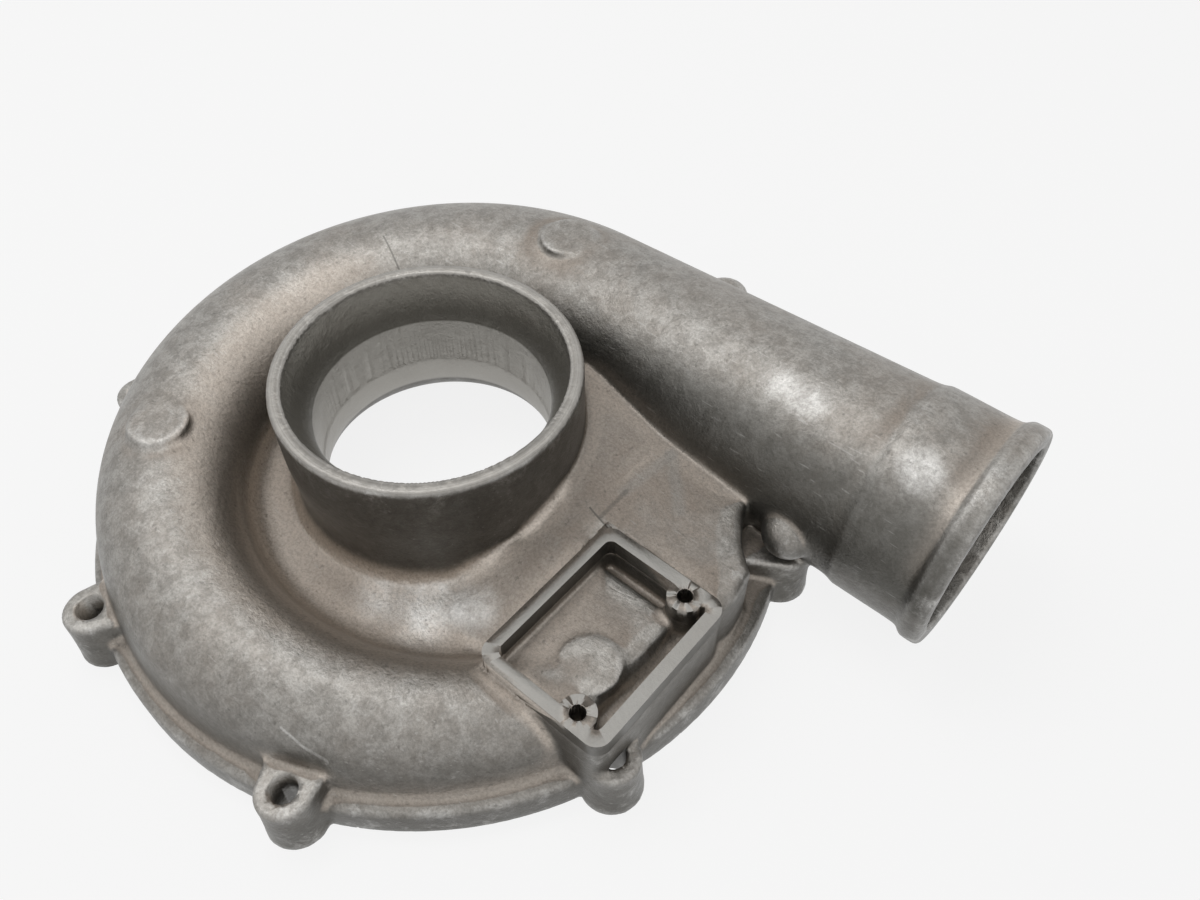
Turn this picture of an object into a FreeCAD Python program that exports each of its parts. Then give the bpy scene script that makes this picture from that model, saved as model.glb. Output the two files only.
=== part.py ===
import FreeCAD, Part
import math
import os

from FreeCAD import Vector

# Compressor housing of a turbocharger: one aluminium casting, lying on its back flange.
# Frame: origin on the inlet axis in the plane of the back flange, +Z towards the inlet
# mouth, +X along the outlet pipe. Millimetres.

# Inlet neck
RIM_RADIUS = 50.0
RIM_HEIGHT = 69.0
RIM_LAND = 4.6
RIM_ROUND = 1.2
NECK_FOOT_RADIUS = 48.6
NECK_FOOT_FILLET = 10.0
NECK_SINK = 1.0
NECK_BAND_BOTTOM = 48.0

# Inlet bore
THROAT_RADIUS = 38.8
THROAT_TOP = 52.6
THROAT_BOTTOM = 30.0
THROAT_STEP_HEIGHT = 34.7
THROAT_STEP = 0.5
CONTOUR_RADIUS = 21.0

# Back flange, with the register that the backplate seats in
FLANGE_RADIUS = 121.2
FLANGE_HEIGHT = 12.0
FLANGE_ROUND = 2.5
REGISTER_RADIUS = 107.0
REGISTER_DEPTH = 3.0
DIFFUSER_RADIUS = 99.0
DIFFUSER_DEPTH = 9.0
PLATEAU_HEIGHT = 21.5
PLATEAU_RADIUS = 58.5
BACK_TRIM = 2.0

# Scroll: a round passage that grows with the angle round the inlet axis
SCROLL_OUTSIDE = 114.0
SCROLL_FLOOR = 1.0
WALL = 4.0
PASSAGE_FULL = 28.3
TONGUE_ANGLE = 10.0
TONGUE_ZERO = 30.0
OUTLET_ANGLE = 90.0
SCROLL_TURN = 300.0
SCROLL_SECTIONS = 12
VALLEY_FILLET = 8.0
SKIRT_FOOT_RADIUS = 115.8
SKIRT_FILLET = 2.5

# Outlet pipe and its hose collar
COLLAR_START = 129.0
BEAD_START = 154.5
OUTLET_END = 162.5
OUTLET_OFFSET = 78.5
OUTLET_AXIS_HEIGHT = 39.6
PIPE_END_RADIUS = 35.9
COLLAR_RADIUS = 37.0
BEAD_RADIUS = 39.2
BEAD_ROUND = 2.2
OUTLET_BORE = 32.8

# Ears round the flange
EAR_COUNT = 8
EAR_CIRCLE = 121.3
EAR_FIRST_ANGLE = 24.1
EAR_HEIGHT = 20.4
EAR_TOP_RADIUS = 8.7
EAR_FOOT_RADIUS = 10.0
EAR_WEB_SPREAD = 3.0
EAR_WEB_REACH = 20.0
EAR_HOLE_RADIUS = 4.3
EAR_ROUND = 1.2

# Lumps beside the outlet pipe, over the two ears next to it
BACK_LUMP_ANGLE = 73.0
BACK_LUMP_HEIGHT = 44.0
DOME_RADIUS = 9.0
DOME_HEIGHT = 33.0
DOME_ANGLE = 22.3

# Deck: the web between the neck, the outlet pipe and the plate frame, filled up so that
# the casting leaves its die, with a scoop round the ear that stands beside it
DECK_PLAN = [(22.0, 40.0), (44.0, 5.0), (113.5, 5.0), (114.3, 14.0), (112.5, 24.0),
             (104.5, 31.0), (97.0, 42.0), (95.0, 64.0), (22.0, 64.0)]
DECK_TOP = [(0.0, 48.5), (30.0, 46.5), (62.0, 40.2), (130.0, 36.2)]
DECK_ROUND = 3.5
RAMP_TOP = [(7.0, 40.0), (-8.0, 37.0), (-24.0, 30.0), (-44.0, 22.5)]
RAMP_NEAR = 42.0

# Plate frame: an open rim for an identification plate, with two tapped screw bosses
FRAME_LENGTH = 59.5
FRAME_WIDTH = 46.5
FRAME_WALL = 4.2
FRAME_TOP = 40.0
FRAME_FLOOR = 26.0
FRAME_STEP = 31.2
FRAME_STEP_WIDTH = 30.0
FRAME_STEP_ROUND = 3.0
FRAME_NEAR_X = 69.0
FRAME_LOW_Y = -52.0
FRAME_CORNER = 5.0
SCREW_BOSS_RADIUS = 5.6
SCREW_BOSS_INSET = 1.2
SCREW_BOSS_X = 103.4
SCREW_HOLE_RADIUS = 2.5
SCREW_HOLE_DEPTH = 12.0

# Ejector discs left by the die
DISC_RADIUS = 10.0
DISC_RISE = 0.8


def polar(radius, angle, height=0.0):
    """Point at a radius and an angle in degrees round the inlet axis."""
    turn = math.radians(angle)
    return Vector(radius * math.cos(turn), radius * math.sin(turn), height)


def passage_radius(angle):
    """Inside radius of the scroll passage: its area grows in proportion to the angle run."""
    run = max(TONGUE_ZERO - angle, 0.0)
    return PASSAGE_FULL * math.sqrt(run / SCROLL_TURN)


def scroll_circle(angle):
    """Centre radius, centre height and outside radius of the scroll at an angle."""
    outside = passage_radius(angle) + WALL
    return SCROLL_OUTSIDE - outside, SCROLL_FLOOR + outside, outside


def plateau_line():
    """Inner and outer end of the sloping plateau between the inlet neck and the flange."""
    rim = Vector(FLANGE_RADIUS - FLANGE_ROUND, 0, FLANGE_HEIGHT)
    foot = Vector(PLATEAU_RADIUS, 0, PLATEAU_HEIGHT)
    slope = (foot.z - rim.z) / (foot.x - rim.x)
    inner_x = THROAT_RADIUS - 8.0
    return Vector(inner_x, 0, rim.z + slope * (inner_x - rim.x)), rim


def valley_points(centre, outside):
    """Valley fillet between the plateau line and the scroll circle: start, middle, end."""
    inner, rim = plateau_line()
    along = (rim - inner).normalize()
    up = Vector(-along.z, 0, along.x)
    rise = (centre - inner).dot(up)
    reach = math.sqrt((outside + VALLEY_FILLET) ** 2 - (VALLEY_FILLET - rise) ** 2)
    foot = inner + along * ((centre - inner).dot(along) - reach)
    middle = foot + up * VALLEY_FILLET
    on_circle = middle + (centre - middle).normalize() * VALLEY_FILLET
    bow = ((foot - middle).normalize() + (on_circle - middle).normalize()).normalize()
    return foot, middle + bow * VALLEY_FILLET, on_circle


def skirt_touch(centre, outside, foot):
    """Where the drafted skirt that rises from the flange touches the scroll circle."""
    away = foot - centre
    turn = math.atan2(away.z, away.x) + math.acos(outside / away.Length)
    return centre + Vector(math.cos(turn), 0, math.sin(turn)) * outside


def corner_points(before, corner, after, fillet):
    """Fillet between two straight runs of a profile: start, middle, end."""
    arrive = (corner - before).normalize()
    leave = (after - corner).normalize()
    half_turn = 0.5 * math.acos(arrive.dot(leave))
    start = corner - arrive * fillet * math.tan(half_turn)
    end = corner + leave * fillet * math.tan(half_turn)
    inward = (leave - arrive).normalize()
    middle = corner + inward * fillet * (1.0 / math.cos(half_turn) - 1.0)
    return start, middle, end


def scroll_section(angle):
    """Outside profile of the housing at an angle: plateau, valley, scroll, skirt, flange."""
    centre_x, centre_z, outside = scroll_circle(angle)
    centre = Vector(centre_x, 0, centre_z)
    inner, rim = plateau_line()
    valley_foot, valley_mid, valley_top = valley_points(centre, outside)
    share = (SKIRT_FOOT_RADIUS - inner.x) / (rim.x - inner.x)
    skirt_foot = inner + (rim - inner) * share
    touch = skirt_touch(centre, outside, skirt_foot)
    skirt_end, corner_mid, flange_start = corner_points(touch, skirt_foot, rim, SKIRT_FILLET)
    crest = centre + Vector(0, 0, outside)
    edges = [
        Part.makeLine(Vector(inner.x, 0, -BACK_TRIM), inner),
        Part.makeLine(inner, valley_foot),
        Part.Arc(valley_foot, valley_mid, valley_top).toShape(),
        Part.Arc(valley_top, crest, touch).toShape(),
        Part.makeLine(touch, skirt_end),
        Part.Arc(skirt_end, corner_mid, flange_start).toShape(),
        Part.makeLine(flange_start, rim),
    ] + flange_edge(rim) + [
        Part.makeLine(Vector(FLANGE_RADIUS, 0, -BACK_TRIM), Vector(inner.x, 0, -BACK_TRIM)),
    ]
    wire = Part.Wire(edges)
    wire.rotate(Vector(0, 0, 0), Vector(0, 0, 1), angle)
    return wire


def flange_edge(rim):
    """Rounded top corner and upright edge of the back flange."""
    low = Vector(FLANGE_RADIUS, 0, FLANGE_HEIGHT - FLANGE_ROUND)
    middle = Vector(rim.x + FLANGE_ROUND * math.sqrt(0.5), 0, low.z + FLANGE_ROUND * math.sqrt(0.5))
    foot = Vector(FLANGE_RADIUS, 0, -BACK_TRIM)
    return [Part.Arc(rim, middle, low).toShape(), Part.makeLine(low, foot)]


def turned(edges, turn=360.0):
    """Solid of revolution about the inlet axis from a closed profile in the XZ plane."""
    face = Part.Face(Part.Wire(edges))
    return face.revolve(Vector(0, 0, 0), Vector(0, 0, 1), turn)


def scroll_body():
    """Scroll with its plateau and flange, lofted through its sections from tongue to outlet."""
    span = TONGUE_ANGLE - (OUTLET_ANGLE - 360.0)
    step = span / SCROLL_SECTIONS
    sections = [scroll_section(TONGUE_ANGLE - step * i) for i in range(SCROLL_SECTIONS + 1)]
    return Part.makeLoft(sections, True, False)


def plateau_sector():
    """Plateau and flange between the tongue and the outlet, where the scroll has left."""
    inner, rim = plateau_line()
    edges = [
        Part.makeLine(Vector(inner.x, 0, -BACK_TRIM), inner),
        Part.makeLine(inner, rim),
    ] + flange_edge(rim) + [
        Part.makeLine(Vector(FLANGE_RADIUS, 0, -BACK_TRIM), Vector(inner.x, 0, -BACK_TRIM)),
    ]
    sector = turned(edges, OUTLET_ANGLE - TONGUE_ANGLE)
    sector.rotate(Vector(0, 0, 0), Vector(0, 0, 1), TONGUE_ANGLE)
    return sector


def deck():
    """Web between neck, pipe and plate frame: its plan raised to a top that falls outwards."""
    plan = [Vector(x, y, -BACK_TRIM) for x, y in DECK_PLAN]
    block = Part.Face(Part.makePolygon(plan + plan[:1])).extrude(Vector(0, 0, 80))
    low_y = min(y for _, y in DECK_PLAN) - 5.0
    high_y = max(y for _, y in DECK_PLAN) + 5.0
    side = [Vector(x, low_y, z) for x, z in DECK_TOP]
    side += [Vector(DECK_TOP[-1][0], low_y, -10), Vector(DECK_TOP[0][0], low_y, -10)]
    under = Part.Face(Part.makePolygon(side + side[:1])).extrude(Vector(0, high_y - low_y, 0))
    web = block.common(under)
    outer = [edge for edge in web.Edges if min(edge.BoundBox.ZMin, edge.BoundBox.XMin - 60.0) > 30.0
             and edge.BoundBox.YMin > 4.0 and edge.BoundBox.YMax < 50.0]
    return web.makeFillet(DECK_ROUND, outer)


def ramp():
    """Rise of the valley from the plateau up to the deck, between neck and plate frame."""
    top = [Vector(RAMP_NEAR, y, z) for y, z in RAMP_TOP]
    curve = Part.BSplineCurve()
    curve.interpolate(top)
    low_front = Vector(RAMP_NEAR, top[-1].y, -BACK_TRIM)
    low_back = Vector(RAMP_NEAR, top[0].y, -BACK_TRIM)
    edges = [curve.toShape(), Part.makeLine(top[-1], low_front),
             Part.makeLine(low_front, low_back), Part.makeLine(low_back, top[0])]
    return Part.Face(Part.Wire(edges)).extrude(Vector(FRAME_NEAR_X + 2.0 - RAMP_NEAR, 0, 0))


def neck():
    """Inlet neck with its rounded rim, and the fillet that carries it on the plateau."""
    foot_height = PLATEAU_HEIGHT - NECK_SINK
    foot = Vector(NECK_FOOT_RADIUS + NECK_FOOT_FILLET, 0, foot_height)
    side = Vector(NECK_FOOT_RADIUS, 0, foot_height + NECK_FOOT_FILLET)
    bow = NECK_FOOT_FILLET * (1 - math.sqrt(0.5))
    middle = Vector(NECK_FOOT_RADIUS + bow, 0, foot_height + bow)
    rim_low = Vector(RIM_RADIUS, 0, RIM_HEIGHT - RIM_ROUND)
    rim_top = Vector(RIM_RADIUS - RIM_ROUND, 0, RIM_HEIGHT)
    rim_mid = Vector(RIM_RADIUS - RIM_ROUND * (1 - math.sqrt(0.5)), 0,
                     RIM_HEIGHT - RIM_ROUND * (1 - math.sqrt(0.5)))
    inner = THROAT_RADIUS - 5.0
    base = PLATEAU_HEIGHT - 8.0
    edges = [
        Part.makeLine(Vector(inner, 0, base), Vector(foot.x, 0, base)),
        Part.makeLine(Vector(foot.x, 0, base), foot),
        Part.Arc(foot, middle, side).toShape(),
        Part.makeLine(side, Vector(RIM_RADIUS, 0, NECK_BAND_BOTTOM)),
        Part.makeLine(Vector(RIM_RADIUS, 0, NECK_BAND_BOTTOM), rim_low),
        Part.Arc(rim_low, rim_mid, rim_top).toShape(),
        Part.makeLine(rim_top, Vector(inner, 0, RIM_HEIGHT)),
        Part.makeLine(Vector(inner, 0, RIM_HEIGHT), Vector(inner, 0, base)),
    ]
    return turned(edges)


def inlet_bore():
    """Bell mouth, throat, wheel contour, diffuser and register, as one turned cut."""
    mouth = Vector(RIM_RADIUS - RIM_LAND, 0, RIM_HEIGHT + 1.0)
    lip = Vector(RIM_RADIUS - RIM_LAND, 0, RIM_HEIGHT - 1.0)
    throat = Vector(THROAT_RADIUS, 0, THROAT_TOP)
    bell_mid = Vector(THROAT_RADIUS + 0.36 * (lip.x - throat.x), 0, 0.5 * (lip.z + throat.z))
    step_x = THROAT_RADIUS - THROAT_STEP
    contour_mid = Vector(step_x + CONTOUR_RADIUS * (1 - math.sqrt(0.5)), 0,
                         THROAT_BOTTOM - CONTOUR_RADIUS * math.sqrt(0.5))
    contour_end = Vector(step_x + CONTOUR_RADIUS, 0, THROAT_BOTTOM - CONTOUR_RADIUS)
    points = [
        Vector(0, 0, RIM_HEIGHT + 1.0), mouth, lip, throat,
        Vector(THROAT_RADIUS, 0, THROAT_STEP_HEIGHT), Vector(step_x, 0, THROAT_STEP_HEIGHT),
        Vector(step_x, 0, THROAT_BOTTOM), contour_end,
        Vector(DIFFUSER_RADIUS, 0, DIFFUSER_DEPTH), Vector(DIFFUSER_RADIUS, 0, REGISTER_DEPTH),
        Vector(REGISTER_RADIUS, 0, REGISTER_DEPTH), Vector(REGISTER_RADIUS, 0, -1.0),
        Vector(0, 0, -1.0), Vector(0, 0, RIM_HEIGHT + 1.0),
    ]
    edges = [Part.makeLine(a, b) for a, b in zip(points, points[1:])]
    edges[2] = Part.Arc(lip, bell_mid, throat).toShape()
    edges[6] = Part.Arc(points[6], contour_mid, contour_end).toShape()
    return turned(edges)


def passage():
    """Hollow of the scroll, lofted through its circles."""
    start = TONGUE_ANGLE - 8.0
    span = start - (OUTLET_ANGLE - 360.0)
    step = span / SCROLL_SECTIONS
    circles = []
    for i in range(SCROLL_SECTIONS + 1):
        angle = start - step * i
        centre_x, centre_z, outside = scroll_circle(angle)
        turn = math.radians(angle)
        across = Vector(-math.sin(turn), math.cos(turn), 0)
        circle = Part.makeCircle(outside - WALL, polar(centre_x, angle, centre_z), across)
        circles.append(Part.Wire(circle))
    return Part.makeLoft(circles, True, False)


def pipe_ring(x, radius, share):
    """Circle across the outlet pipe; share runs from 0 at the scroll to 1 at the collar."""
    centre_x, centre_z, _ = scroll_circle(OUTLET_ANGLE - 360.0)
    y = centre_x + (OUTLET_OFFSET - centre_x) * share
    z = centre_z + (OUTLET_AXIS_HEIGHT - centre_z) * share
    return Part.Wire(Part.makeCircle(radius, Vector(x, y, z), Vector(1, 0, 0)))


def outlet_pipe():
    """Conical pipe from the scroll, with the hose collar and the bead at its end."""
    _, _, outside = scroll_circle(OUTLET_ANGLE - 360.0)
    cone = Part.makeLoft([pipe_ring(0, outside, 0), pipe_ring(COLLAR_START, PIPE_END_RADIUS, 1)], True, True)
    axis_point = Vector(COLLAR_START, OUTLET_OFFSET, OUTLET_AXIS_HEIGHT)
    along = Vector(1, 0, 0)
    collar = Part.makeCylinder(COLLAR_RADIUS, OUTLET_END - COLLAR_START, axis_point, along)
    bead_point = Vector(BEAD_START, OUTLET_OFFSET, OUTLET_AXIS_HEIGHT)
    bead = Part.makeCylinder(BEAD_RADIUS, OUTLET_END - BEAD_START, bead_point, along)
    bead = bead.makeFillet(BEAD_ROUND, bead.Edges)
    return cone.fuse([collar, bead])


def outlet_bore():
    """Bore of the outlet pipe, widening from the passage to the mouth."""
    inside = passage_radius(OUTLET_ANGLE - 360.0)
    start = pipe_ring(0, inside, 0)
    end = pipe_ring(COLLAR_START, OUTLET_BORE, 1)
    cone = Part.makeLoft([start, end], True, True)
    axis_point = Vector(COLLAR_START, OUTLET_OFFSET, OUTLET_AXIS_HEIGHT)
    straight = Part.makeCylinder(OUTLET_BORE, OUTLET_END - COLLAR_START + 1.0, axis_point, Vector(1, 0, 0))
    return cone.fuse(straight)


def ear_angles():
    """Angles of the ears round the flange."""
    pitch = 360.0 / EAR_COUNT
    return [EAR_FIRST_ANGLE + pitch * i for i in range(EAR_COUNT)]


def ear_outline(radius, height):
    """Round end of an ear, with sides that spread towards the scroll."""
    spread = radius + EAR_WEB_SPREAD
    edges = [
        Part.makeLine(Vector(-EAR_WEB_REACH, -spread, height), Vector(0, -radius, height)),
        Part.Arc(Vector(0, -radius, height), Vector(radius, 0, height), Vector(0, radius, height)).toShape(),
        Part.makeLine(Vector(0, radius, height), Vector(-EAR_WEB_REACH, spread, height)),
        Part.makeLine(Vector(-EAR_WEB_REACH, spread, height), Vector(-EAR_WEB_REACH, -spread, height)),
    ]
    return Part.Wire(edges)


def ear(angle):
    """Drafted ear with a rounded top edge, run into the scroll at its full height."""
    foot = ear_outline(EAR_FOOT_RADIUS + 0.1 * BACK_TRIM, -BACK_TRIM)
    body = Part.makeLoft([foot, ear_outline(EAR_TOP_RADIUS, EAR_HEIGHT)], True, True)
    top = [edge for edge in body.Edges if edge.BoundBox.ZMin > EAR_HEIGHT - 0.01
           and edge.BoundBox.XMax > 1.0 - EAR_WEB_REACH]
    body = body.makeFillet(EAR_ROUND, top)
    body.translate(Vector(EAR_CIRCLE, 0, 0))
    body.rotate(Vector(0, 0, 0), Vector(0, 0, 1), angle)
    return body


def lumps():
    """Round lump behind the outlet pipe, and the dome in front of it."""
    tall = Part.makeCylinder(EAR_TOP_RADIUS, BACK_LUMP_HEIGHT, polar(EAR_CIRCLE, BACK_LUMP_ANGLE))
    top = [edge for edge in tall.Edges if abs(edge.BoundBox.ZMin - BACK_LUMP_HEIGHT) < 0.01]
    tall = tall.makeFillet(EAR_TOP_RADIUS * 0.4, top)
    dome = Part.makeSphere(DOME_RADIUS, polar(EAR_CIRCLE, DOME_ANGLE, DOME_HEIGHT))
    return [tall, dome]


def ear_hole(angle):
    """Through hole of an ear, with the room above it that the screw head needs."""
    return Part.makeCylinder(EAR_HOLE_RADIUS, EAR_HEIGHT + 2.0, polar(EAR_CIRCLE, angle, -1.0))


def rounded_prism(x, y, width, length, radius, low, high):
    """Upright block with rounded upright edges."""
    block = Part.makeBox(width, length, high - low, Vector(x, y, low))
    upright = [edge for edge in block.Edges if abs(edge.BoundBox.ZLength - (high - low)) < 0.01]
    return block.makeFillet(radius, upright)


def screw_points():
    """Centres of the two screw bosses in the plate frame."""
    low_y = FRAME_LOW_Y + FRAME_WALL + SCREW_BOSS_INSET
    high_y = FRAME_LOW_Y + FRAME_LENGTH - FRAME_WALL - SCREW_BOSS_INSET
    return [Vector(SCREW_BOSS_X, low_y, FRAME_TOP), Vector(SCREW_BOSS_X, high_y, FRAME_TOP)]


def plate_frame():
    """Rim for the identification plate, standing on the scroll, with its screw bosses."""
    base = FLANGE_HEIGHT - 4.0
    outer = rounded_prism(FRAME_NEAR_X, FRAME_LOW_Y, FRAME_WIDTH, FRAME_LENGTH, FRAME_CORNER, base, FRAME_TOP)
    inner = rounded_prism(
        FRAME_NEAR_X + FRAME_WALL, FRAME_LOW_Y + FRAME_WALL, FRAME_WIDTH - 2 * FRAME_WALL,
        FRAME_LENGTH - 2 * FRAME_WALL, FRAME_CORNER - 2.5, FRAME_FLOOR, FRAME_TOP + 1.0)
    bosses = []
    for point in screw_points():
        boss = Part.makeCylinder(SCREW_BOSS_RADIUS, FRAME_TOP - base, Vector(point.x, point.y, base))
        bosses.append(boss.common(outer))
    step = rounded_prism(
        FRAME_NEAR_X + 1.0, FRAME_LOW_Y + 1.0, FRAME_STEP_WIDTH + FRAME_WALL, FRAME_LENGTH - 9.0,
        FRAME_CORNER, base, FRAME_STEP)
    rim = [edge for edge in step.Edges if edge.BoundBox.ZMin > FRAME_STEP - 0.01]
    step = step.makeFillet(FRAME_STEP_ROUND, rim)
    return outer.cut(inner).fuse(bosses).fuse(step)


def screw_hole(point):
    """Tapped hole of a screw boss, left plain at its core diameter."""
    return Part.makeCylinder(SCREW_HOLE_RADIUS, SCREW_HOLE_DEPTH + 1.0,
                             Vector(point.x, point.y, FRAME_TOP - SCREW_HOLE_DEPTH))


def crest_disc(angle):
    """Flat ejector disc on the crest of the scroll."""
    centre_x, centre_z, outside = scroll_circle(angle)
    top = centre_z + outside + DISC_RISE
    return Part.makeCylinder(DISC_RADIUS, 6.0, polar(centre_x, angle, top - 6.0))


def housing():
    """The whole casting."""
    solids = [scroll_body(), plateau_sector(), neck(), outlet_pipe(), deck(), ramp(), plate_frame()]
    solids += [ear(angle) for angle in ear_angles()] + lumps()
    solids += [crest_disc(-135.0), crest_disc(98.5 - 360.0), crest_disc(-18.0)]
    body = solids[0]
    for solid in solids[1:]:
        body = body.fuse(solid)
    hollows = [inlet_bore(), outlet_bore(), passage()]
    hollows += [ear_hole(angle) for angle in ear_angles()]
    hollows += [screw_hole(point) for point in screw_points()]
    hollows.append(Part.makeBox(400, 400, 20, Vector(-200, -200, -20)))
    for hollow in hollows:
        body = body.cut(hollow)
    return body.Solids[0]


os.makedirs("parts", exist_ok=True)
part = housing()
part.exportStep("parts/compressor_housing.step")
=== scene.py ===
import math

import bmesh
import bpy
import numpy as np
from mathutils import Matrix, Vector
from mathutils.bvhtree import BVHTree


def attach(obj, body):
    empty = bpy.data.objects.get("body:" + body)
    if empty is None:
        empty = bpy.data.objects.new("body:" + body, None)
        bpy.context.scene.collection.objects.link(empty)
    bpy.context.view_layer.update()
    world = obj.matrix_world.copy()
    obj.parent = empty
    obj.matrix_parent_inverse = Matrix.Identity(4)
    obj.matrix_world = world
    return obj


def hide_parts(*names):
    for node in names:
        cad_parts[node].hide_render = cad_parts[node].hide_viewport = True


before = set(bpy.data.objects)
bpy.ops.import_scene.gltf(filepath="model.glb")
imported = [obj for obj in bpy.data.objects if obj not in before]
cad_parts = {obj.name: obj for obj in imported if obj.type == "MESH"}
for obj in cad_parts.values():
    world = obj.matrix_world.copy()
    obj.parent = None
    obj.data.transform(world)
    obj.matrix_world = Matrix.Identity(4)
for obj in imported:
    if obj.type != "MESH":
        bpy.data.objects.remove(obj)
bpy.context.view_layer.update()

# Camera: the photograph was taken from close by, in front and to the right of the inlet
# axis and about fifty degrees above the table, so the near ears look larger than the far ones.
CAMERA_AZIMUTH = math.radians(40.0)
CAMERA_ELEVATION = math.radians(50.79)
CAMERA_ROLL = math.radians(0.36)
CAMERA_DISTANCE = 0.38982
CAMERA_TARGET = Vector((0.0270, 0.0533, 0.0))
CAMERA_LENS = 30.57

back = Vector((
    math.sin(CAMERA_AZIMUTH) * math.cos(CAMERA_ELEVATION),
    -math.cos(CAMERA_AZIMUTH) * math.cos(CAMERA_ELEVATION),
    math.sin(CAMERA_ELEVATION),
))
level_right = Vector((math.cos(CAMERA_AZIMUTH), math.sin(CAMERA_AZIMUTH), 0.0))
level_up = back.cross(level_right)
right = level_right * math.cos(CAMERA_ROLL) + level_up * math.sin(CAMERA_ROLL)
up = level_up * math.cos(CAMERA_ROLL) - level_right * math.sin(CAMERA_ROLL)
camera_data = bpy.data.cameras.new("camera")
camera_data.lens = CAMERA_LENS
camera_data.sensor_width = 36.0
camera_data.clip_start = 0.01
camera = bpy.data.objects.new("camera", camera_data)
turn = Matrix((right, up, back)).transposed().to_4x4()
camera.matrix_world = Matrix.Translation(CAMERA_TARGET + back * CAMERA_DISTANCE) @ turn
bpy.context.scene.collection.objects.link(camera)
bpy.context.scene.camera = camera
bpy.context.scene.view_settings.view_transform = "Standard"

# Housing casting: one piece of die-cast aluminium. The die leaves soft fillets in every valley
# and at every foot, so a merged copy of the solid is remeshed and its cast skin smoothed.
# The rim, throat and plate frame are machined after casting, so their faces are set true again.
RIM_HEIGHT = 0.0690
RIM_OUTSIDE = 0.0500
RIM_INSIDE = 0.0454
THROAT_RADIUS = 0.0388
THROAT_TOP = 0.0526
THROAT_STEP_HEIGHT = 0.0347
FRAME_TOP = 0.0400
FRAME_NEAR_X = 0.0690
FRAME_FAR_X = 0.1155
FRAME_LOW_Y = -0.0520
FRAME_HIGH_Y = 0.0075
SCREW_HOLES = ((0.1034, -0.0466), (0.1034, 0.0021))
SCREW_HOLE_RADIUS = 0.0025
EAR_CIRCLE = 0.1213
EAR_FIRST_ANGLE = 24.1
EAR_HOLE_RADIUS = 0.0043
SKIN_VOXEL = 0.00085
SKIN_SMOOTHING = 8
FACET_SMOOTHING = 30
CRISP_BEND = 0.00004
CORNER_BEND = 0.00008
MELT_ROUNDS = 120
LAND_DEPTH = 0.0060
LAND_SINK = 0.00035
LAND_OVERLAP = 0.0002
BLOCK_MARGIN = 0.0005
BLOCK_ABOVE = 0.001
LAND_SHARP = math.radians(50.0)
MELTED_SPOTS = (
    (0.0467, -0.0434, 0.0290, 0.0170), (0.0450, -0.0310, 0.0300, 0.0150), (0.0560, -0.0280, 0.0310, 0.0160),
    (0.0620, -0.0480, 0.0290, 0.0120), (0.0600, 0.0050, 0.0380, 0.0140), (0.0450, 0.0000, 0.0330, 0.0140),
)
SKIN_TRIANGLES = 190000
EAR_COUNT = 8
EAR_STEP = 45.0
EAR_TOP = 0.0215
SCREW_HOLE_FOOT = 0.0270
ZONE_MARGIN = 0.0006
RIM_ZONE_DEPTH = 0.0030
FOOT_ZONE_HEIGHT = 0.0008
MACHINED_PULL = 0.1
INLET_ZONE_RADIUS = 0.0530
INLET_ZONE_FOOT = 0.0280
FOOT_FACE_RADIUS = 0.09
FINE_ROUNDS = 10
FINE_BEND = 0.00022
BROAD_ROUNDS = 120
BROAD_BEND = 0.0011


def merged_copy(node, name):
    """Closed copy of a solid's mesh, with its corners joined."""
    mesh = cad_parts[node].data.copy()
    copy = bpy.data.objects.new(name, mesh)
    bpy.context.scene.collection.objects.link(copy)
    shell = bmesh.new()
    shell.from_mesh(mesh)
    bmesh.ops.remove_doubles(shell, verts=shell.verts, dist=1e-6)
    shell.to_mesh(mesh)
    shell.free()
    return copy


def apply_modifiers(piece):
    """Turns the evaluated mesh of a piece into its own mesh."""
    depsgraph = bpy.context.evaluated_depsgraph_get()
    mesh = bpy.data.meshes.new_from_object(piece.evaluated_get(depsgraph))
    piece.modifiers.clear()
    piece.data = mesh
    return piece


def vertex_points(mesh):
    """Corner places of a mesh as an array."""
    points = np.zeros(len(mesh.vertices) * 3)
    mesh.vertices.foreach_get("co", points)
    return points.reshape(-1, 3)


def vertex_normals(mesh):
    """Corner normals of a mesh as an array."""
    normals = np.zeros(len(mesh.vertices) * 3)
    mesh.vertex_normals.foreach_get("vector", normals)
    return normals.reshape(-1, 3)


def set_points(mesh, points):
    """Moves the corners of a mesh to new places."""
    mesh.vertices.foreach_set("co", points.ravel())
    mesh.update()


def edge_ends(mesh):
    """Corner numbers at both ends of every edge."""
    ends = np.zeros(len(mesh.edges) * 2, dtype=np.int64)
    mesh.edges.foreach_get("vertices", ends)
    return ends.reshape(-1, 2)


def relaxed(values, ends, rounds, share=0.5, weight=None):
    """Values moved towards the mean of their neighbours, several times over."""
    count = len(values)
    both = np.concatenate([ends[:, 0], ends[:, 1]])
    other = np.concatenate([ends[:, 1], ends[:, 0]])
    neighbours = np.maximum(np.bincount(both, minlength=count), 1)
    result = values.astype(float).copy()
    pull = share if weight is None else share * weight
    for _ in range(rounds):
        for axis in range(result.shape[1]):
            mean = np.bincount(both, weights=result[other, axis], minlength=count) / neighbours
            result[:, axis] += pull * (mean - result[:, axis])
    return result


def snap_height(points, height, inside, reach=0.0006):
    """Flattens a milled face to its height."""
    near = inside & (abs(points[:, 2] - height) < reach)
    points[near, 2] = height


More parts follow.
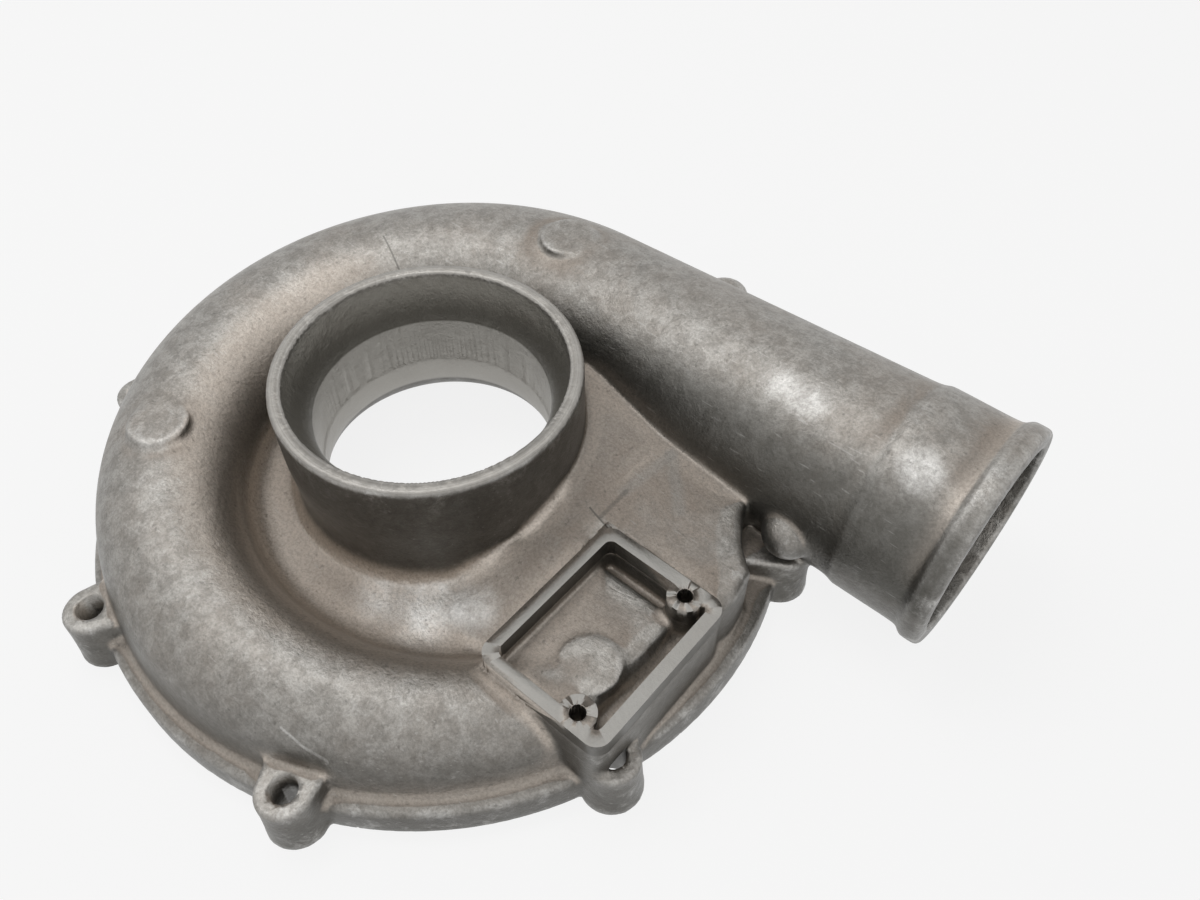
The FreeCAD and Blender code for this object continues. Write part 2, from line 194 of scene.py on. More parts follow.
def snap_round(points, centre, radius, inside, reach=0.0006):
    """Rounds a bored or turned face to its radius."""
    away = points[:, :2] - np.array(centre)
    distance = np.maximum(np.hypot(away[:, 0], away[:, 1]), 1e-9)
    near = inside & (abs(distance - radius) < reach)
    points[near, :2] = np.array(centre) + away[near] * (radius / distance[near])[:, None]


casting = merged_copy("compressor_housing", "housing_casting")
shell = bmesh.new()
shell.from_mesh(casting.data)
solid_surface = BVHTree.FromBMesh(shell)
shell.free()
remesh = casting.modifiers.new("skin", "REMESH")
remesh.mode = "VOXEL"
remesh.voxel_size = SKIN_VOXEL
apply_modifiers(casting)

points = vertex_points(casting.data)
ends = edge_ends(casting.data)
radius = np.hypot(points[:, 0], points[:, 1])
height = points[:, 2]
frame_plan = (
    (points[:, 0] > FRAME_NEAR_X - ZONE_MARGIN) & (points[:, 0] < FRAME_FAR_X + ZONE_MARGIN)
    & (points[:, 1] > FRAME_LOW_Y - ZONE_MARGIN) & (points[:, 1] < FRAME_HIGH_Y + ZONE_MARGIN)
)
machined = (height > RIM_HEIGHT - RIM_ZONE_DEPTH) & (radius < RIM_OUTSIDE + 0.001)
machined |= frame_plan & (height > FRAME_TOP - LAND_DEPTH)
machined |= height < FOOT_ZONE_HEIGHT
ear_places = []
for number in range(EAR_COUNT):
    angle = math.radians(EAR_FIRST_ANGLE + EAR_STEP * number)
    ear_places.append((EAR_CIRCLE * math.cos(angle), EAR_CIRCLE * math.sin(angle)))
for places, hole in ((ear_places, EAR_HOLE_RADIUS), (SCREW_HOLES, SCREW_HOLE_RADIUS)):
    for place in places:
        machined |= np.hypot(points[:, 0] - place[0], points[:, 1] - place[1]) < hole + ZONE_MARGIN
points = relaxed(points, ends, SKIN_SMOOTHING, weight=np.where(machined, MACHINED_PULL, 1.0))
set_points(casting.data, points)
bend = ((relaxed(points, ends, 6) - points) * vertex_normals(casting.data)).sum(axis=1)
crisp = np.clip((abs(bend) - CRISP_BEND) / CRISP_BEND, 0.0, 1.0)
crisp = np.clip(2.0 * relaxed(crisp[:, None], ends, 3)[:, 0], 0.0, 1.0)
points = relaxed(points, ends, FACET_SMOOTHING, weight=np.where(machined, MACHINED_PULL, 1.0) * (1.0 - crisp))

# Corners that stand out keep the solid's edge, and only the valleys between the forms stay soft.
corner = np.clip((-bend - CORNER_BEND) / CORNER_BEND, 0.0, 1.0)
corner = np.clip(1.5 * relaxed(corner[:, None], ends, 2)[:, 0], 0.0, 1.0)
melt = np.zeros(len(points))
for x, y, z, reach in MELTED_SPOTS:
    away = np.linalg.norm(points - np.array((x, y, z)), axis=1)
    melt = np.maximum(melt, np.clip(2.0 - 2.0 * away / reach, 0.0, 1.0))
rimmed = frame_plan & (points[:, 2] > FRAME_TOP - LAND_DEPTH)
inlet = (np.hypot(points[:, 0], points[:, 1]) < INLET_ZONE_RADIUS) & (points[:, 2] > INLET_ZONE_FOOT)
hold = np.maximum(rimmed, corner * ~inlet) * (1.0 - melt)
hold = np.maximum(relaxed(hold[:, None], ends, 2)[:, 0], rimmed * 0.95)
for number in np.nonzero(hold > 0.02)[0]:
    nearest = solid_surface.find_nearest(Vector(points[number]))[0]
    points[number] += hold[number] * (np.array(nearest) - points[number])
melt *= ~machined
points = relaxed(points, ends, MELT_ROUNDS, weight=melt)
points = relaxed(points, ends, 2, weight=np.where(machined, MACHINED_PULL, 0.6))

radius = np.hypot(points[:, 0], points[:, 1])
snap_height(points, RIM_HEIGHT, (radius > RIM_INSIDE) & (radius < RIM_OUTSIDE - 0.0010))
snap_height(points, 0.0, radius > FOOT_FACE_RADIUS)
snap_height(points, FRAME_TOP, frame_plan)
snap_round(points, (0.0, 0.0), THROAT_RADIUS, (points[:, 2] > THROAT_STEP_HEIGHT) & (points[:, 2] < THROAT_TOP))
for place in ear_places:
    snap_round(points, place, EAR_HOLE_RADIUS, points[:, 2] < EAR_TOP)
for place in SCREW_HOLES:
    snap_round(points, place, SCREW_HOLE_RADIUS, points[:, 2] > SCREW_HOLE_FOOT)
set_points(casting.data, points)

# The skin under the land is sunk a little, so that only the land shows there.
sunk = frame_plan & (points[:, 2] > FRAME_TOP - LAND_DEPTH - LAND_OVERLAP)
points -= vertex_normals(casting.data) * (LAND_SINK * sunk)[:, None]
set_points(casting.data, points)
normals = vertex_normals(casting.data)
fine = ((relaxed(points, ends, FINE_ROUNDS) - points) * normals).sum(axis=1)
broad = ((relaxed(points, ends, BROAD_ROUNDS) - points) * normals).sum(axis=1)
for name, values in (("edge_fine", fine / FINE_BEND), ("edge_broad", broad / BROAD_BEND)):
    values = np.clip(0.5 - 0.5 * values, 0.0, 1.0)
    values = relaxed(values[:, None], ends, 3)[:, 0]
    layer = casting.data.attributes.new(name, "FLOAT", "POINT")
    layer.data.foreach_set("value", values.astype(np.float32))
thin = casting.modifiers.new("thin", "DECIMATE")
thin.ratio = min(1.0, SKIN_TRIANGLES / (2.0 * len(casting.data.polygons)))
apply_modifiers(casting)


def combine(piece, other, operation):
    """Boolean of two closed pieces, which uses up the second one."""
    joining = piece.modifiers.new("join", "BOOLEAN")
    joining.object = other
    joining.operation = operation
    joining.solver = "MANIFOLD"
    apply_modifiers(piece)
    bpy.data.objects.remove(other)


# The milled land, the top of the plate frame, is cut from the solid itself, so its edges stay
# sharp. It is united with the cast skin below it.
land = merged_copy("compressor_housing", "frame_land")
block = bpy.data.objects.new("land_block", bpy.data.meshes.new("land_block"))
bpy.context.scene.collection.objects.link(block)
shell = bmesh.new()
bmesh.ops.create_cube(shell, size=1.0)
for corner_point in shell.verts:
    corner_point.co.x = FRAME_NEAR_X - BLOCK_MARGIN if corner_point.co.x < 0 else FRAME_FAR_X + BLOCK_MARGIN
    corner_point.co.y = FRAME_LOW_Y - BLOCK_MARGIN if corner_point.co.y < 0 else FRAME_HIGH_Y + BLOCK_MARGIN
    corner_point.co.z = FRAME_TOP - LAND_DEPTH if corner_point.co.z < 0 else FRAME_TOP + BLOCK_ABOVE
shell.to_mesh(block.data)
shell.free()
combine(land, block, "INTERSECT")
for name in ("edge_fine", "edge_broad"):
    layer = land.data.attributes.new(name, "FLOAT", "POINT")
    layer.data.foreach_set("value", np.full(len(land.data.vertices), 0.5, dtype=np.float32))
combine(casting, land, "UNION")
for face in casting.data.polygons:
    face.use_smooth = True
casting.data.set_sharp_from_angle(angle=LAND_SHARP)


def node(tree, kind, **settings):
    """New shader node with its settings."""
    made = tree.nodes.new(kind)
    for name, value in settings.items():
        setattr(made, name, value)
    return made


def feed(tree, socket, value):
    """Links a socket, or sets it to a number or colour."""
    if isinstance(value, bpy.types.NodeSocket):
        tree.links.new(value, socket)
    else:
        socket.default_value = value


def maths(tree, operation, first, second=0.0):
    """Result of a sum on two values, kept between 0 and 1."""
    made = node(tree, "ShaderNodeMath", operation=operation, use_clamp=True)
    feed(tree, made.inputs[0], first)
    feed(tree, made.inputs[1], second)
    return made.outputs[0]


def step(tree, value, low, high):
    """Smooth step of a value from 0 at low to 1 at high."""
    made = node(tree, "ShaderNodeMapRange", interpolation_type="SMOOTHSTEP")
    feed(tree, made.inputs["Value"], value)
    made.inputs["From Min"].default_value = low
    made.inputs["From Max"].default_value = high
    return made.outputs["Result"]


def blend(tree, share, first, second):
    """Mix of two colours."""
    made = node(tree, "ShaderNodeMix", data_type="RGBA")
    feed(tree, made.inputs["Factor"], share)
    feed(tree, made.inputs["A"], first)
    feed(tree, made.inputs["B"], second)
    return made.outputs["Result"]


def noise(tree, place, scale, detail=4.0, roughness=0.6, twist=0.0):
    """Fractal noise at a place."""
    made = node(tree, "ShaderNodeTexNoise")
    feed(tree, made.inputs["Vector"], place)
    made.inputs["Scale"].default_value = scale
    made.inputs["Detail"].default_value = detail
    made.inputs["Roughness"].default_value = roughness
    made.inputs["Distortion"].default_value = twist
    return made.outputs["Fac"]


def effect_group(name, inputs, outputs):
    """Empty shader node group with named number inputs and outputs."""
    group = bpy.data.node_groups.new(name, "ShaderNodeTree")
    group.interface.new_socket("Place", in_out="INPUT", socket_type="NodeSocketVector")
    for label, value in inputs.items():
        socket = group.interface.new_socket(label, in_out="INPUT", socket_type="NodeSocketFloat")
        socket.default_value = value
    for label in outputs:
        group.interface.new_socket(label, in_out="OUTPUT", socket_type="NodeSocketFloat")
    return group, group.nodes.new("NodeGroupInput"), group.nodes.new("NodeGroupOutput")


def cast_grain():
    """Fine skin of a die casting: sandy grain, small pits, soft blotches and cloudy mottling."""
    group, entry, result = effect_group("cast_grain", {}, ("Grain", "Pits", "Blotches", "Mottling"))
    place = entry.outputs["Place"]
    grain = noise(group, place, 1100.0, 5.0, 0.75)
    pits = step(group, noise(group, place, 520.0, 3.0, 0.55), 0.62, 0.72)
    blotches = noise(group, place, 30.0, 6.0, 0.66, 0.5)
    mottling = noise(group, place, 210.0, 5.0, 0.72, 0.3)
    group.links.new(grain, result.inputs["Grain"])
    group.links.new(pits, result.inputs["Pits"])
    group.links.new(blotches, result.inputs["Blotches"])
    group.links.new(mottling, result.inputs["Mottling"])
    return group


def rubbed_wear():
    """Bare metal where the casting was rubbed: edges first, then crests in patches, and scratches."""
    inputs = {"Edge": 0.5, "Crest": 0.5, "Amount": 1.0}
    group, entry, result = effect_group("rubbed_wear", inputs, ("Wear", "Scratches"))
    place = entry.outputs["Place"]
    patch = noise(group, place, 110.0, 7.0, 0.78, 0.3)
    on_edge = maths(group, "MULTIPLY", step(group, entry.outputs["Edge"], 0.62, 1.0), 0.4)
    on_crest = step(group, entry.outputs["Crest"], 0.50, 0.85)
    rubbed_and_highlight = maths(group, "MULTIPLY", step(group, patch, 0.50, 0.72), maths(group, "MULTIPLY", on_crest, 0.7))
    chafed = maths(group, "MULTIPLY", on_edge, step(group, patch, 0.25, 0.60))
    wear = maths(group, "MULTIPLY", maths(group, "ADD", rubbed_and_highlight, chafed), entry.outputs["Amount"])
    scratches = 0.0
    for turn, length, seed in ((0.5, 9.0, 0.0), (-0.9, 12.0, 3.7), (1.4, 10.0, 8.1)):
        stretch = node(group, "ShaderNodeMapping")
        group.links.new(place, stretch.inputs["Vector"])
        stretch.inputs["Location"].default_value = (seed, seed, 0.0)
        stretch.inputs["Rotation"].default_value = (0.2, 0.1, turn)
        stretch.inputs["Scale"].default_value = (1.0, length, length)
        lines = noise(group, stretch.outputs["Vector"], 70.0, 2.0, 0.45, 0.15)
        scratches = maths(group, "ADD", scratches, step(group, lines, 0.71, 0.76))
    group.links.new(wear, result.inputs["Wear"])
    group.links.new(scratches, result.inputs["Scratches"])
    return group


def lathe_marks():
    """Fine rings that a turning tool leaves round the inlet axis."""
    group, entry, result = effect_group("lathe_marks", {"Pitch": 2600.0}, ("Rings",))
    split = node(group, "ShaderNodeSeparateXYZ")
    group.links.new(entry.outputs["Place"], split.inputs["Vector"])
    flat = node(group, "ShaderNodeCombineXYZ")
    group.links.new(split.outputs["X"], flat.inputs["X"])
    group.links.new(split.outputs["Y"], flat.inputs["Y"])
    length = node(group, "ShaderNodeVectorMath", operation="LENGTH")
    group.links.new(flat.outputs["Vector"], length.inputs[0])
    along = node(group, "ShaderNodeCombineXYZ")
    group.links.new(length.outputs["Value"], along.inputs["X"])
    group.links.new(split.outputs["Z"], along.inputs["Y"])
    rings = node(group, "ShaderNodeTexNoise")
    group.links.new(along.outputs["Vector"], rings.inputs["Vector"])
    group.links.new(entry.outputs["Pitch"], rings.inputs["Scale"])
    rings.inputs["Detail"].default_value = 3.0
    group.links.new(rings.outputs["Fac"], result.inputs["Rings"])
    return group


# Spots with a centre and a reach: painted highlights, where the skin is also made smoother.
POLISH_AND_HIGHLIGHT_PLACES = (
    (0.0386, -0.0420, 0.0300, 0.0160), (0.0417, -0.0493, 0.0290, 0.0160), (0.0250, -0.0530, 0.0300, 0.0150),
    (0.0520, -0.0380, 0.0300, 0.0120), (0.0889, 0.0654, 0.0740, 0.0100), (0.1000, 0.0640, 0.0740, 0.0100),
    (0.1400, 0.0610, 0.0740, 0.0100), (0.1102, 0.0490, 0.0380, 0.0090),
)

# Cast aluminium: matte grey skin, brown in the hollows, with rubbed crests and edges, turned rings on the
# rim and a pale milled land. Painted shade darkens the walls, the pipe flank, the low edge and the creases;
# painted light lightens the valleys, and painted highlights lie on listed spots and lines.
# The masks come from the place, the facing and the two edge layers of the mesh.
metal = bpy.data.materials.new("cast_aluminium")
metal.use_nodes = True
tree = metal.node_tree
shader = tree.nodes["Principled BSDF"]
where = node(tree, "ShaderNodeTexCoord")
place = where.outputs["Object"]
parts = node(tree, "ShaderNodeSeparateXYZ")
tree.links.new(place, parts.inputs["Vector"])
height = parts.outputs["Z"]
fine_edge = node(tree, "ShaderNodeAttribute", attribute_name="edge_fine").outputs["Fac"]
broad_edge = node(tree, "ShaderNodeAttribute", attribute_name="edge_broad").outputs["Fac"]
facing = node(tree, "ShaderNodeSeparateXYZ")
tree.links.new(where.outputs["Normal"], facing.inputs["Vector"])
level = node(tree, "ShaderNodeCombineXYZ")
tree.links.new(parts.outputs["X"], level.inputs["X"])
tree.links.new(parts.outputs["Y"], level.inputs["Y"])
from_axis = node(tree, "ShaderNodeVectorMath", operation="LENGTH")
tree.links.new(level.outputs["Vector"], from_axis.inputs[0])
axis_distance = from_axis.outputs["Value"]

rubbed_and_highlight = 0.0
for x, y, z, reach in POLISH_AND_HIGHLIGHT_PLACES:
    away = node(tree, "ShaderNodeVectorMath", operation="DISTANCE")
    tree.links.new(place, away.inputs[0])
    away.inputs[1].default_value = (x, y, z)
    rubbed_and_highlight = maths(tree, "ADD", rubbed_and_highlight, step(tree, away.outputs["Value"], reach, 0.25 * reach))

grain = node(tree, "ShaderNodeGroup", node_tree=cast_grain())
tree.links.new(place, grain.inputs["Place"])
wear = node(tree, "ShaderNodeGroup", node_tree=rubbed_wear())
tree.links.new(place, wear.inputs["Place"])
tree.links.new(fine_edge, wear.inputs["Edge"])
tree.links.new(broad_edge, wear.inputs["Crest"])
polish_and_highlight = maths(tree, "MULTIPLY", rubbed_and_highlight, step(tree, facing.outputs["Z"], 0.55, 0.80))
rings = node(tree, "ShaderNodeGroup", node_tree=lathe_marks())
tree.links.new(place, rings.inputs["Place"])

SKIN_GREY = (0.255, 0.242, 0.222, 1.0)
# Pale skin tone, also used for painted highlight lines.
PALE_SKIN_AND_HIGHLIGHT = (0.380, 0.366, 0.342, 1.0)
SKIN_BROWN = (0.345, 0.288, 0.238, 1.0)
VALLEY_BROWN_AND_PAINTED_LIGHT = (0.600, 0.525, 0.455, 1.0)
# Dark tone of the grain and pits, also used for painted shade on walls, pipe flank, low edge and creases.
DARK_GRAIN_AND_SHADE = (0.070, 0.068, 0.060, 1.0)
# Bare metal of wear and scratches, also used for painted highlights.
BARE_METAL_AND_HIGHLIGHT = (0.640, 0.630, 0.610, 1.0)
MOUTH_DARK = (0.160, 0.152, 0.132, 1.0)
THROAT_GREY = (0.420, 0.405, 0.375, 1.0)
MILLED_PALE = (0.500, 0.495, 0.470, 1.0)

# Painted lines, each with both ends seen along the inlet axis, a reach, a share and a tint: dark ones are
# painted shade in creases, pale and bare-metal ones are painted highlights along fillets and ridges.
PAINTED_SHADE_AND_HIGHLIGHT_LINES = (
    ((0.0670, 0.0420), (0.0650, 0.0199), 0.0030, 0.40, PALE_SKIN_AND_HIGHLIGHT),
    ((0.0655, 0.0210), (0.0657, 0.0074), 0.0012, 0.40, DARK_GRAIN_AND_SHADE),
    ((0.0670, 0.0426), (0.0828, 0.0261), 0.0034, 0.45, PALE_SKIN_AND_HIGHLIGHT),
    ((0.0610, 0.0080), (0.0700, 0.0060), 0.0005, 0.70, DARK_GRAIN_AND_SHADE),
    ((-0.0689, 0.0421), (-0.0546, 0.0363), 0.0005, 0.60, DARK_GRAIN_AND_SHADE),
    ((0.0415, -0.1012), (0.0490, -0.1003), 0.0004, 0.80, BARE_METAL_AND_HIGHLIGHT),
    ((0.0490, -0.1003), (0.0557, -0.0982), 0.0004, 0.80, BARE_METAL_AND_HIGHLIGHT),
)


def line_mask(tree, place, start, end, reach):
    """1 on a straight mark between two places seen along the inlet axis, fading over its reach."""
    span = Vector(end) - Vector(start)
    flat = node(tree, "ShaderNodeVectorMath", operation="MULTIPLY")
    tree.links.new(place, flat.inputs[0])
    flat.inputs[1].default_value = (1.0, 1.0, 0.0)
    from_start = node(tree, "ShaderNodeVectorMath", operation="SUBTRACT")
    tree.links.new(flat.outputs["Vector"], from_start.inputs[0])
    from_start.inputs[1].default_value = (start[0], start[1], 0.0)
    along = node(tree, "ShaderNodeVectorMath", operation="DOT_PRODUCT")
    tree.links.new(from_start.outputs["Vector"], along.inputs[0])
    along.inputs[1].default_value = (span.x / span.length_squared, span.y / span.length_squared, 0.0)
    # The clamp of the sum keeps the nearest place between the ends of the mark.
    clamped = maths(tree, "ADD", along.outputs["Value"], 0.0)
    nearest = node(tree, "ShaderNodeVectorMath", operation="SCALE")
    nearest.inputs[0].default_value = (span.x, span.y, 0.0)
    tree.links.new(clamped, nearest.inputs["Scale"])
    away = node(tree, "ShaderNodeVectorMath", operation="DISTANCE")
    tree.links.new(from_start.outputs["Vector"], away.inputs[0])
    tree.links.new(nearest.outputs["Vector"], away.inputs[1])
    return step(tree, away.outputs["Value"], reach, 0.2 * reach)


facing_up = facing.outputs["Z"]
upward = step(tree, facing_up, -0.10, 0.92)
blotch = step(tree, grain.outputs["Blotches"], 0.34, 0.68)
mottle = step(tree, grain.outputs["Mottling"], 0.36, 0.64)
crest = step(tree, broad_edge, 0.49, 0.60)
hollow = maths(tree, "SUBTRACT", 1.0, crest)
colour = blend(tree, mottle, SKIN_GREY, PALE_SKIN_AND_HIGHLIGHT)
matte = maths(tree, "MULTIPLY", hollow, step(tree, facing_up, 0.80, 0.99))
matte = maths(tree, "MULTIPLY", matte, maths(tree, "SUBTRACT", 1.0, polish_and_highlight))
brown = maths(tree, "MULTIPLY", matte, maths(tree, "ADD", 0.55, maths(tree, "MULTIPLY", blotch, 0.45)))
brown = maths(tree, "ADD", brown, maths(tree, "MULTIPLY", blotch, 0.28))
colour = blend(tree, maths(tree, "MULTIPLY", brown, 0.85), colour, SKIN_BROWN)
# Painted shade: walls that face sideways or down are darkened towards the dark colour.
wall_shade = maths(tree, "SUBTRACT", 1.0, upward)
colour = blend(tree, maths(tree, "MULTIPLY", wall_shade, 0.70), colour, DARK_GRAIN_AND_SHADE)
# Painted light: the valleys and the inner flank by the neck are lightened with a pale brown. The brown is the
# skin's own tone; the lightness is painted light.
valley_painted_light = maths(tree, "MULTIPLY", maths(tree, "SUBTRACT", 1.0, step(tree, broad_edge, 0.30, 0.56)),
               step(tree, facing_up, 0.10, 0.50))
outward = node(tree, "ShaderNodeVectorMath", operation="DOT_PRODUCT")
radial = node(tree, "ShaderNodeVectorMath", operation="NORMALIZE")
tree.links.new(level.outputs["Vector"], radial.inputs[0])
tree.links.new(radial.outputs["Vector"], outward.inputs[0])
tree.links.new(where.outputs["Normal"], outward.inputs[1])
inner_flank_painted_light = maths(tree, "MULTIPLY", step(tree, outward.outputs["Value"], -0.08, -0.55),
                    maths(tree, "MULTIPLY", step(tree, axis_distance, 0.0530, 0.0560),
                          step(tree, facing_up, 0.20, 0.45)))
inner_flank_painted_light = maths(tree, "MULTIPLY", inner_flank_painted_light, step(tree, parts.outputs["Y"], 0.0450, 0.0100))
valley_painted_light = maths(tree, "ADD", valley_painted_light, inner_flank_painted_light)
colour = blend(tree, maths(tree, "MULTIPLY", valley_painted_light, 0.68), colour, VALLEY_BROWN_AND_PAINTED_LIGHT)
# Painted shade: the flank of the pipe that faces the front, near the deck, is darkened.
pipe_flank_shade = maths(tree, "MULTIPLY", step(tree, facing.outputs["Y"], -0.45, -0.80),
                   maths(tree, "MULTIPLY", step(tree, parts.outputs["Y"], 0.0350, 0.0400),
                         step(tree, parts.outputs["X"], 0.0000, 0.0300)))
pipe_flank_shade = maths(tree, "MULTIPLY", pipe_flank_shade, step(tree, height, 0.0360, 0.0440))
colour = blend(tree, maths(tree, "MULTIPLY", pipe_flank_shade, 0.62), colour, DARK_GRAIN_AND_SHADE)
# Painted shade: the skin is darker towards the foot of the flange.
low_edge_shade = step(tree, height, 0.0170, 0.0090)
colour = blend(tree, maths(tree, "MULTIPLY", low_edge_shade, 0.38), colour, DARK_GRAIN_AND_SHADE)
for start, end, reach, share, tint in PAINTED_SHADE_AND_HIGHLIGHT_LINES:
    line = line_mask(tree, place, start, end, reach)
    colour = blend(tree, maths(tree, "MULTIPLY", maths(tree, "MULTIPLY", line, upward), share), colour, tint)
# Painted shade: fine creases of the mesh are darkened.
crease_shade = maths(tree, "SUBTRACT", 1.0, step(tree, fine_edge, 0.08, 0.36))
colour = blend(tree, maths(tree, "MULTIPLY", crease_shade, 0.30), colour, DARK_GRAIN_AND_SHADE)
speckle = step(tree, grain.outputs["Grain"], 0.36, 0.62)
# Painted highlight: the listed spots are lightened towards bare metal.
painted_highlight_share = maths(tree, "MULTIPLY", polish_and_highlight, maths(tree, "ADD", 0.45, maths(tree, "MULTIPLY", mottle, 0.45)))
colour = blend(tree, painted_highlight_share, colour, BARE_METAL_AND_HIGHLIGHT)
colour = blend(tree, maths(tree, "MULTIPLY", wear.outputs["Wear"], 0.70), colour, BARE_METAL_AND_HIGHLIGHT)
colour = blend(tree, maths(tree, "MULTIPLY", maths(tree, "SUBTRACT", 1.0, speckle), 0.30), colour, DARK_GRAIN_AND_SHADE)
colour = blend(tree, maths(tree, "MULTIPLY", wear.outputs["Scratches"], 0.18), colour, BARE_METAL_AND_HIGHLIGHT)
colour = blend(tree, maths(tree, "MULTIPLY", grain.outputs["Pits"], 0.35), colour, DARK_GRAIN_AND_SHADE)
in_mouth = maths(tree, "MULTIPLY", step(tree, axis_distance, RIM_INSIDE + 0.0012, RIM_INSIDE - 0.0002),
                 step(tree, height, THROAT_TOP - 0.0004, THROAT_TOP + 0.0004))
in_mouth = maths(tree, "MULTIPLY", in_mouth, step(tree, height, RIM_HEIGHT - 0.0004, RIM_HEIGHT - 0.0022))
colour = blend(tree, maths(tree, "MULTIPLY", in_mouth, 0.80), colour, MOUTH_DARK)
in_throat = maths(tree, "MULTIPLY", step(tree, axis_distance, THROAT_RADIUS + 0.0012, THROAT_RADIUS + 0.0005),
                  step(tree, height, THROAT_TOP + 0.0004, THROAT_TOP - 0.0004))
colour = blend(tree, maths(tree, "MULTIPLY", in_throat, 0.90), colour, THROAT_GREY)
ring_shade = step(tree, rings.outputs["Rings"], 0.30, 0.70)
on_rim = maths(tree, "MULTIPLY", step(tree, height, RIM_HEIGHT - 0.0012, RIM_HEIGHT - 0.0001),
               step(tree, axis_distance, RIM_OUTSIDE + 0.0010, RIM_OUTSIDE))
rim_colour = blend(tree, ring_shade, SKIN_GREY, PALE_SKIN_AND_HIGHLIGHT)
colour = blend(tree, maths(tree, "MULTIPLY", on_rim, 0.75), colour, rim_colour)
on_frame = maths(tree, "MULTIPLY", step(tree, height, FRAME_TOP - 0.0006, FRAME_TOP - 0.0001),
                 step(tree, height, FRAME_TOP + 0.0008, FRAME_TOP + 0.0003))
frame_side = maths(tree, "MULTIPLY", step(tree, parts.outputs["X"], FRAME_NEAR_X - 0.001, FRAME_NEAR_X),
                   step(tree, parts.outputs["Y"], FRAME_HIGH_Y + 0.001, FRAME_HIGH_Y))
on_frame = maths(tree, "MULTIPLY", on_frame, frame_side)
on_frame = maths(tree, "MULTIPLY", on_frame, step(tree, facing_up, 0.80, 0.95))
colour = blend(tree, maths(tree, "MULTIPLY", on_frame, 0.75), colour, MILLED_PALE)
tree.links.new(colour, shader.inputs["Base Color"])
sheen = node(tree, "ShaderNodeMapRange")
feed(tree, sheen.inputs["Value"], maths(tree, "SUBTRACT", 1.0, matte))
sheen.inputs["To Min"].default_value = 0.35
sheen.inputs["To Max"].default_value = 0.85
tree.links.new(sheen.outputs["Result"], shader.inputs["Metallic"])
gloss = node(tree, "ShaderNodeMapRange")
rough = maths(tree, "ADD", maths(tree, "MULTIPLY", matte, 0.7), maths(tree, "MULTIPLY", blotch, 0.3))
rubbed_off = maths(tree, "ADD", maths(tree, "MULTIPLY", wear.outputs["Wear"], 0.5),
                   maths(tree, "MULTIPLY", polish_and_highlight, 0.8))
feed(tree, gloss.inputs["Value"], maths(tree, "SUBTRACT", rough, rubbed_off))
gloss.inputs["To Min"].default_value = 0.36
gloss.inputs["To Max"].default_value = 0.58
tree.links.new(gloss.outputs["Result"], shader.inputs["Roughness"])


def raised(strength, depth, value, under=None):
    """Bump from a height value, over another bump."""
    made = node(tree, "ShaderNodeBump")
    made.inputs["Strength"].default_value = strength
    made.inputs["Distance"].default_value = depth
    tree.links.new(value, made.inputs["Height"])
    if under is not None:
        tree.links.new(under, made.inputs["Normal"])
    return made.outputs["Normal"]


surface = raised(0.40, 0.0003, grain.outputs["Grain"])
surface = raised(0.45, 0.0005, grain.outputs["Mottling"], surface)
surface = raised(0.60, 0.0014, grain.outputs["Blotches"], surface)
tree.links.new(surface, shader.inputs["Normal"])
casting.data.materials.clear()
casting.data.materials.append(metal)
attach(casting, "root")
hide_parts("compressor_housing")

# Floor and light: a plain pale table under a soft overhead light, as in a product picture.
# The camera and mirror rays see floor and sky as white, and the rest see them dimmer.
FLOOR_SIZE = 6.0
FLOOR_GLOW = 0.85
SKY_LIGHT = 0.30
SKY_SEEN = 1.0


def seen_directly(tree):
    """1 for rays from the camera, mirrors and clear things, 0 for all other rays."""
    ray = node(tree, "ShaderNodeLightPath")
    seen = maths(tree, "ADD", ray.outputs["Is Camera Ray"], ray.outputs["Is Glossy Ray"])
    return maths(tree, "ADD", seen, ray.outputs["Is Transmission Ray"])


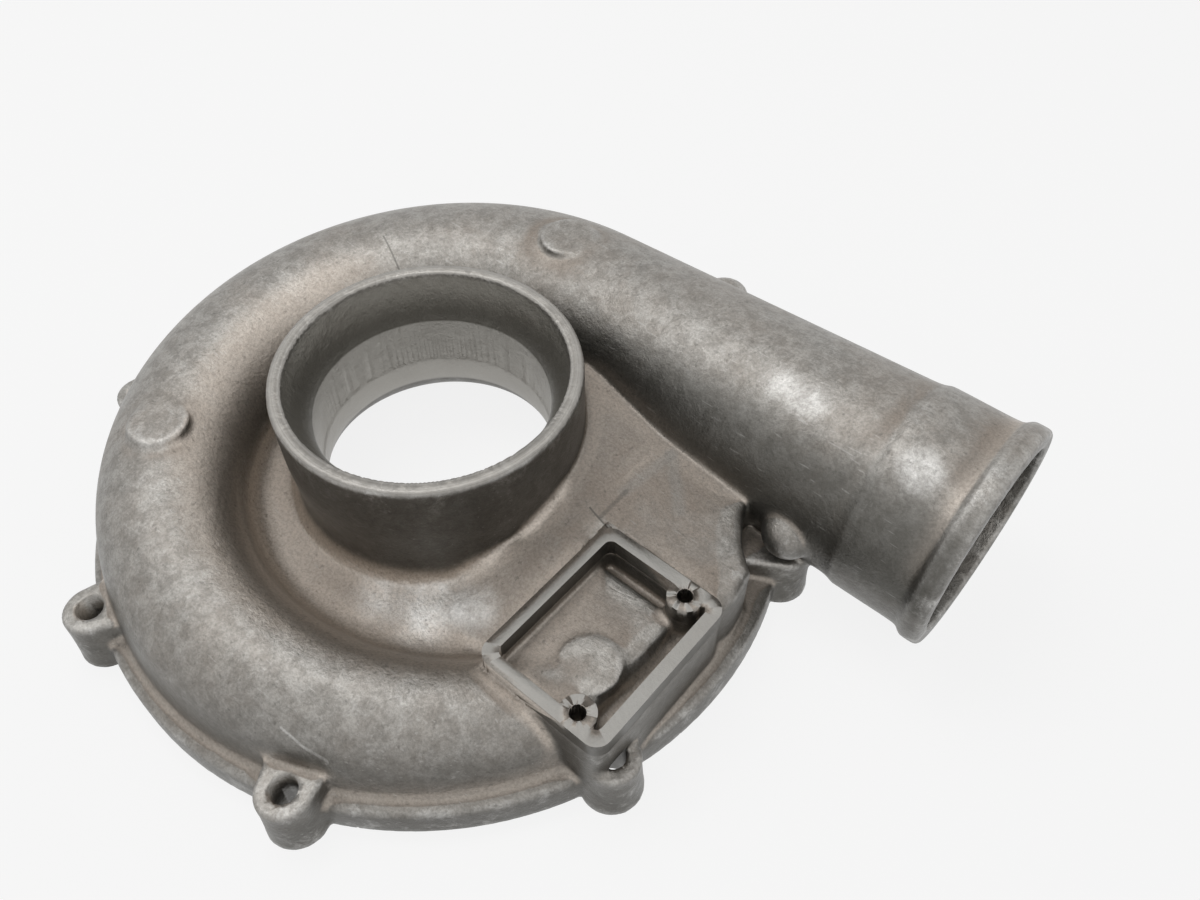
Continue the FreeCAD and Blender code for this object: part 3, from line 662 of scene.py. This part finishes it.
floor_mesh = bpy.data.meshes.new("floor")
half = FLOOR_SIZE / 2
floor_corners = [(-half, -half, 0), (half, -half, 0), (half, half, 0), (-half, half, 0)]
floor_mesh.from_pydata(floor_corners, [], [(0, 1, 2, 3)])
floor = bpy.data.objects.new("floor", floor_mesh)
bpy.context.scene.collection.objects.link(floor)
paper = bpy.data.materials.new("pale_paper")
paper.use_nodes = True
sheet = paper.node_tree
sheet_shader = sheet.nodes["Principled BSDF"]
sheet_shader.inputs["Base Color"].default_value = (0.92, 0.92, 0.92, 1.0)
sheet_shader.inputs["Roughness"].default_value = 0.9
shine = node(sheet, "ShaderNodeEmission")
shine.inputs["Color"].default_value = (1.0, 1.0, 1.0, 1.0)
either = node(sheet, "ShaderNodeMixShader")
sheet.links.new(maths(sheet, "MULTIPLY", seen_directly(sheet), FLOOR_GLOW), either.inputs["Fac"])
sheet.links.new(sheet_shader.outputs["BSDF"], either.inputs[1])
sheet.links.new(shine.outputs["Emission"], either.inputs[2])
sheet.links.new(either.outputs["Shader"], sheet.nodes["Material Output"].inputs["Surface"])
floor.data.materials.append(paper)

world = bpy.data.worlds.new("world")
bpy.context.scene.world = world
world.use_nodes = True
sky = world.node_tree
sky_light = sky.nodes["Background"]
sky_light.inputs["Color"].default_value = (1.0, 1.0, 1.0, 1.0)
strength = node(sky, "ShaderNodeMapRange")
sky.links.new(seen_directly(sky), strength.inputs["Value"])
strength.inputs["To Min"].default_value = SKY_LIGHT
strength.inputs["To Max"].default_value = SKY_SEEN
sky.links.new(strength.outputs["Result"], sky_light.inputs["Strength"])


def soft_lamp(name, azimuth, elevation, distance, size, power):
    """Square lamp that faces the middle of the housing from a direction."""
    data = bpy.data.lights.new(name, "AREA")
    data.size = size
    data.energy = power
    lamp = bpy.data.objects.new(name, data)
    across = distance * math.cos(math.radians(elevation))
    lamp.location = (across * math.cos(math.radians(azimuth)), across * math.sin(math.radians(azimuth)),
                     distance * math.sin(math.radians(elevation)))
    lamp.rotation_euler = (Vector((0.03, 0.0, 0.03)) - lamp.location).to_track_quat("-Z", "Y").to_euler()
    bpy.context.scene.collection.objects.link(lamp)
    return lamp


soft_lamp("top_softbox", 165.0, 74.0, 1.0, 0.40, 1.45)
soft_lamp("left_softbox", -150.0, 56.0, 1.1, 0.40, 0.7)
soft_lamp("front_softbox", -50.0, 55.0, 1.1, 0.60, 0.6)
